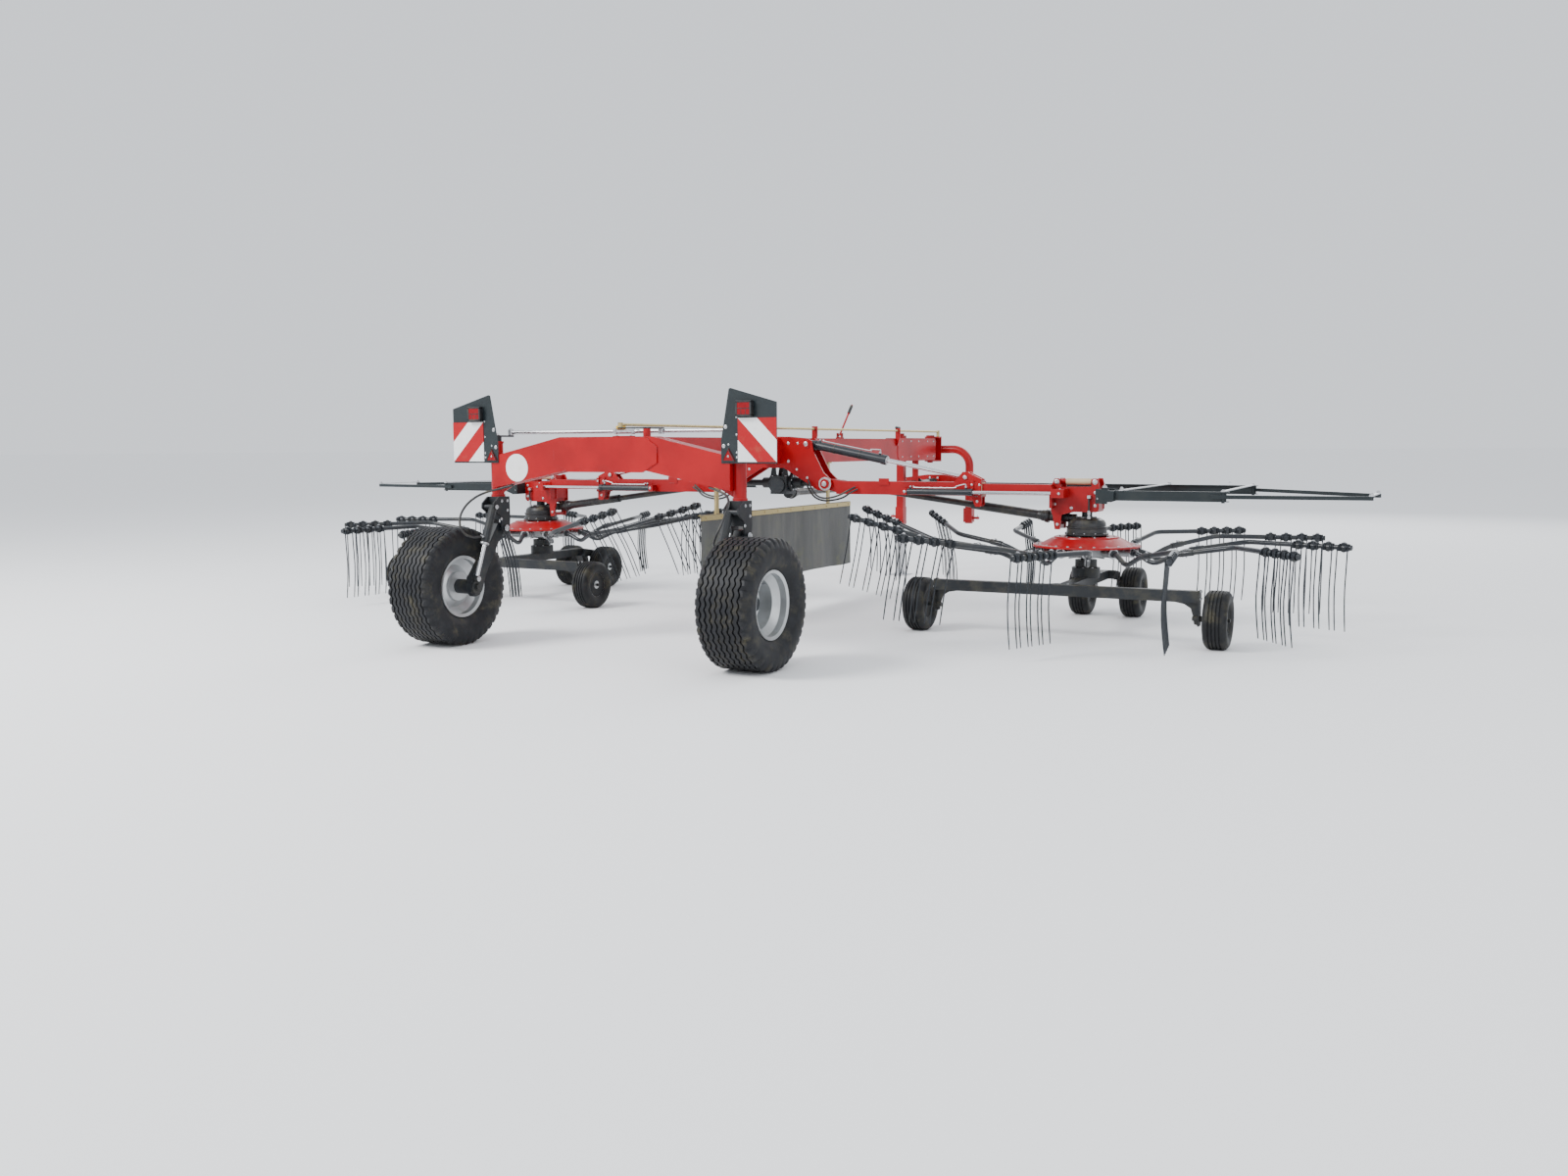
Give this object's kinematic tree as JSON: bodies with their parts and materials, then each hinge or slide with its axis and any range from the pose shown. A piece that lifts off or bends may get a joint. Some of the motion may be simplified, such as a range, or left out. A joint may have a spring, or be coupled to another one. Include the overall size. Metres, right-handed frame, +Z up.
{
  "type": "twin rotor hay rake",
  "caption": "Towed hay rake with an arched rear chassis, folding telescopic booms and a tined rotor on its own wheels at each side.",
  "frame": {"origin": "on the ground, at the middle of the box around the machine", "axes": "+X to the machine's right, +Y forward, +Z up"},
  "size_m": [9.3996, 7.225, 1.8144],
  "materials": {
    "red": "gloss paint",
    "dark": "satin paint",
    "black": "moulded",
    "guard": "satin paint",
    "zinc": "zinc plated",
    "yellow_zinc": "yellow passivated",
    "rod": "chromed",
    "tyre": "matt",
    "rim": "silver paint",
    "cloth": "coated cloth",
    "board": "striped red and white",
    "lamp": "red lens",
    "cast": "bare casting",
    "arm": "semi-gloss paint",
    "small": "matt"
  },
  "bodies": {
    "frame": {"main_beam": "red", "arch_beam": "red", "beam_hoses": "black", "boom_carrier": "red", "centre_gearbox": "dark", "main_drive_shaft": "black", "jack_tube": "red", "curtain_bar": "yellow_zinc", "swath_curtain": "cloth", "marker_plates": "guard", "marker_boards": "board", "rear_lamps": "lamp"},
    "jack": {"jack_leg": "zinc"},
    "headstock": {"headstock": "red", "drive_input": "zinc"},
    "steering_rod": {"steering_rod": "yellow_zinc"},
    "bell_crank": {"bell_crank": "dark"},
    "track_rod": {"track_rod": "zinc"},
    "right_leg": {"right_leg": "dark"},
    "right_wheel": {"right_tyre": "tyre", "right_rim": "rim"},
    "right_boom": {"right_boom": "red", "right_width_barrel": "arm"},
    "right_lift_barrel": {"right_lift_barrel": "arm"},
    "right_lift_rod": {"right_lift_rod": "rod"},
    "right_head": {"right_head": "red", "right_width_rod": "rod", "right_bell": "black", "right_guard": "guard", "right_guard_ties": "zinc", "right_carriage": "dark"},
    "right_rotor": {"right_rotor_hub": "cast", "right_rotor_disc": "red", "right_tine_arms": "arm"},
    "right_shaft_inner": {"right_shaft_inner": "black"},
    "right_shaft_outer": {"right_shaft_outer": "black"},
    "right_wheel_in": {"right_wheel_in": "small"},
    "right_wheel_out": {"right_wheel_out": "small"},
    "right_wheels_front": {"right_wheels_front": "small"},
    "left_leg": {"left_leg": "dark"},
    "left_wheel": {"left_tyre": "tyre", "left_rim": "rim"},
    "left_boom": {"left_boom": "red", "left_width_barrel": "arm"},
    "left_lift_barrel": {"left_lift_barrel": "arm"},
    "left_lift_rod": {"left_lift_rod": "rod"},
    "left_head": {"left_head": "red", "left_width_rod": "rod", "left_bell": "black", "left_guard": "guard", "left_guard_ties": "zinc", "left_carriage": "dark"},
    "left_rotor": {"left_rotor_hub": "cast", "left_rotor_disc": "red", "left_tine_arms": "arm"},
    "left_shaft_inner": {"left_shaft_inner": "black"},
    "left_shaft_outer": {"left_shaft_outer": "black"},
    "left_wheel_in": {"left_wheel_in": "small"},
    "left_wheel_out": {"left_wheel_out": "small"},
    "left_wheels_front": {"left_wheels_front": "small"}
  },
  "joints": [
    {"name": "headstock_swivel", "type": "hinge", "parent": "frame", "child": "headstock", "pos_m": [0, 3.1925, 1.486], "axis": [0, 0, 1], "range_deg": [-60, 60]},
    {"name": "jack_lift", "type": "slide", "parent": "frame", "child": "jack", "axis": [0, 0, 1], "range_m": [0, 0.4]},
    {"name": "steering_rod_slide", "type": "slide", "parent": "frame", "child": "steering_rod", "axis": [0, 1, 0], "range_m": [-0.085, 0.085]},
    {"name": "bell_crank_turn", "type": "hinge", "parent": "frame", "child": "bell_crank", "pos_m": [0.306, -2.9175, 1.545], "axis": [0, 0, 1], "range_deg": [-22, 22]},
    {"name": "track_rod_turn", "type": "hinge", "parent": "left_leg", "child": "track_rod", "pos_m": [-1.015, -2.7375, 1.525], "axis": [0, 0, 1], "range_deg": [-25, 25]},
    {"name": "right_leg_steer", "type": "hinge", "parent": "frame", "child": "right_leg", "pos_m": [1.015, -2.8975, 1.262], "axis": [0, 0, 1], "range_deg": [-25, 25]},
    {"name": "right_wheel_roll", "type": "hinge", "parent": "right_leg", "child": "right_wheel", "pos_m": [1.262, -3.1875, 0.425], "axis": [1, 0, 0], "continuous": true},
    {"name": "right_boom_fold", "type": "hinge", "parent": "frame", "child": "right_boom", "pos_m": [0.5, -0.4675, 1.1], "axis": [0, -1, 0], "range_deg": [0, 95]},
    {"name": "right_lift_barrel_turn", "type": "hinge", "parent": "frame", "child": "right_lift_barrel", "pos_m": [0.32, -0.4675, 1.434], "axis": [0, -1, 0], "range_deg": [0, 101.22]},
    {"name": "right_lift_rod_slide", "type": "slide", "parent": "right_lift_barrel", "child": "right_lift_rod", "axis": [-0.9816, 0, 0.1907], "range_m": [0, 0.5541]},
    {"name": "right_boom_slide", "type": "slide", "parent": "right_boom", "child": "right_head", "axis": [-1, 0, 0], "range_m": [0, 0.5]},
    {"name": "right_rotor_turn", "type": "hinge", "parent": "right_head", "child": "right_rotor", "pos_m": [2.66, -0.3475, 0.6], "axis": [0, 0, 1], "continuous": true},
    {"name": "right_shaft_inner_turn", "type": "hinge", "parent": "right_boom", "child": "right_shaft_inner", "pos_m": [0.5, -0.3475, 1.1], "axis": [0, 1, 0], "range_deg": [0, 3.05]},
    {"name": "right_shaft_outer_turn", "type": "hinge", "parent": "right_head", "child": "right_shaft_outer", "pos_m": [2.425, -0.3475, 0.85], "axis": [0, 1, 0], "range_deg": [0, 3.05]},
    {"name": "right_wheel_in_roll", "type": "hinge", "parent": "right_head", "child": "right_wheel_in", "pos_m": [1.56, -1.0475, 0.205], "axis": [1, 0, 0], "continuous": true},
    {"name": "right_wheel_out_roll", "type": "hinge", "parent": "right_head", "child": "right_wheel_out", "pos_m": [3.76, -1.0475, 0.205], "axis": [1, 0, 0], "continuous": true},
    {"name": "right_wheels_front_roll", "type": "hinge", "parent": "right_head", "child": "right_wheels_front", "pos_m": [2.66, 0.4025, 0.205], "axis": [1, 0, 0], "continuous": true},
    {"name": "left_leg_steer", "type": "hinge", "parent": "frame", "child": "left_leg", "pos_m": [-1.015, -2.8975, 1.262], "axis": [0, 0, 1], "range_deg": [-25, 25]},
    {"name": "left_wheel_roll", "type": "hinge", "parent": "left_leg", "child": "left_wheel", "pos_m": [-1.262, -3.1875, 0.425], "axis": [1, 0, 0], "continuous": true},
    {"name": "left_boom_fold", "type": "hinge", "parent": "frame", "child": "left_boom", "pos_m": [-0.5, -0.4675, 1.1], "axis": [0, 1, 0], "range_deg": [0, 95]},
    {"name": "left_lift_barrel_turn", "type": "hinge", "parent": "frame", "child": "left_lift_barrel", "pos_m": [-0.32, -0.4675, 1.434], "axis": [0, 1, 0], "range_deg": [0, 101.22]},
    {"name": "left_lift_rod_slide", "type": "slide", "parent": "left_lift_barrel", "child": "left_lift_rod", "axis": [0.9816, 0, 0.1907], "range_m": [0, 0.5541]},
    {"name": "left_boom_slide", "type": "slide", "parent": "left_boom", "child": "left_head", "axis": [1, 0, 0], "range_m": [0, 0.5]},
    {"name": "left_rotor_turn", "type": "hinge", "parent": "left_head", "child": "left_rotor", "pos_m": [-2.66, -0.3475, 0.6], "axis": [0, 0, -1], "continuous": true},
    {"name": "left_shaft_inner_turn", "type": "hinge", "parent": "left_boom", "child": "left_shaft_inner", "pos_m": [-0.5, -0.3475, 1.1], "axis": [0, -1, 0], "range_deg": [0, 3.05]},
    {"name": "left_shaft_outer_turn", "type": "hinge", "parent": "left_head", "child": "left_shaft_outer", "pos_m": [-2.425, -0.3475, 0.85], "axis": [0, -1, 0], "range_deg": [0, 3.05]},
    {"name": "left_wheel_in_roll", "type": "hinge", "parent": "left_head", "child": "left_wheel_in", "pos_m": [-1.56, -1.0475, 0.205], "axis": [1, 0, 0], "continuous": true},
    {"name": "left_wheel_out_roll", "type": "hinge", "parent": "left_head", "child": "left_wheel_out", "pos_m": [-3.76, -1.0475, 0.205], "axis": [1, 0, 0], "continuous": true},
    {"name": "left_wheels_front_roll", "type": "hinge", "parent": "left_head", "child": "left_wheels_front", "pos_m": [-2.66, 0.4025, 0.205], "axis": [1, 0, 0], "continuous": true}
  ],
  "couplings": [
    {"joint": "steering_rod_slide", "follows": "headstock_swivel", "m_per_rad": 0.074429},
    {"joint": "bell_crank_turn", "follows": "headstock_swivel", "ratio": -0.35253},
    {"joint": "track_rod_turn", "follows": "headstock_swivel", "ratio": 0.4},
    {"joint": "right_leg_steer", "follows": "headstock_swivel", "ratio": -0.4},
    {"joint": "right_lift_barrel_turn", "follows": "right_boom_fold", "ratio": 1.0549},
    {"joint": "right_lift_rod_slide", "follows": "right_boom_fold", "m_per_rad": 0.3318},
    {"joint": "right_shaft_inner_turn", "follows": "right_boom_slide", "rad_per_m": 0.089048},
    {"joint": "right_shaft_outer_turn", "follows": "right_boom_slide", "rad_per_m": 0.089048},
    {"joint": "left_leg_steer", "follows": "headstock_swivel", "ratio": -0.4},
    {"joint": "left_lift_barrel_turn", "follows": "left_boom_fold", "ratio": 1.0549},
    {"joint": "left_lift_rod_slide", "follows": "left_boom_fold", "m_per_rad": 0.3318},
    {"joint": "left_shaft_inner_turn", "follows": "left_boom_slide", "rad_per_m": 0.089048},
    {"joint": "left_shaft_outer_turn", "follows": "left_boom_slide", "rad_per_m": 0.089048}
  ]
}
